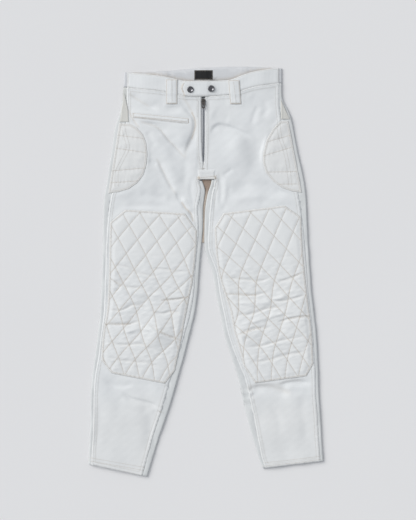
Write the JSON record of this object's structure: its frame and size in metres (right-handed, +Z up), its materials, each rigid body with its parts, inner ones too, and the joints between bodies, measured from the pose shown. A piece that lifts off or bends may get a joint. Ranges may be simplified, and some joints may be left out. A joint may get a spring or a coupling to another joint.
{
  "type": "motocross pants",
  "caption": "Long cotton pants laid flat, front up: quilted knee panels, padded hips, open-faced fly zip, pointed waistband tab with snaps, belt loops and a welt pocket.",
  "frame": {"origin": "on the surface that the pants lie on, under the middle of the laid outline", "axes": "+X to the wearer's left, +Y from the hems to the waist, +Z up from the surface, through the front"},
  "size_m": [0.587, 1.0247, 0.0187],
  "materials": {
    "white_drill": "cotton drill, matt",
    "ribbed_knit": "ribbed stretch cloth, matt",
    "black_cloth": "plain woven tape, matt",
    "gusset_cloth": "tan cotton, matt",
    "dark_metal": "dark oxide, half matt",
    "bright_metal": "polished"
  },
  "bodies": {
    "pants": {"back_right": "white_drill", "back_left": "white_drill", "front_right": "white_drill", "front_left": "white_drill", "knee_patch_right": "white_drill", "knee_patch_left": "white_drill", "hip_pad_right": "white_drill", "hip_pad_left": "white_drill", "belt_loop_front_right": "white_drill", "belt_loop_front_left": "white_drill", "waistband_back": "white_drill", "waistband_front_right": "white_drill", "waistband_front_left": "white_drill", "belt_loop_back_1": "white_drill", "belt_loop_back_2": "white_drill", "belt_loop_back_3": "white_drill", "welt_pocket": "white_drill", "crotch_bridge": "white_drill", "side_rib_right": "ribbed_knit", "side_rib_left": "ribbed_knit", "label": "black_cloth", "zip_tape": "black_cloth", "crotch_gusset": "gusset_cloth", "zip_chain": "dark_metal", "zip_slider": "dark_metal", "snap_1": "bright_metal", "snap_2": "bright_metal"},
    "zip_tab": {"zip_pull": "dark_metal"}
  },
  "joints": [
    {"name": "zip_tab_turn", "type": "hinge", "parent": "pants", "child": "zip_tab", "pos_m": [-0.006, 0.42775, 0.0158], "axis": [-1, 0, 0], "range_deg": [0, 150]}
  ]
}
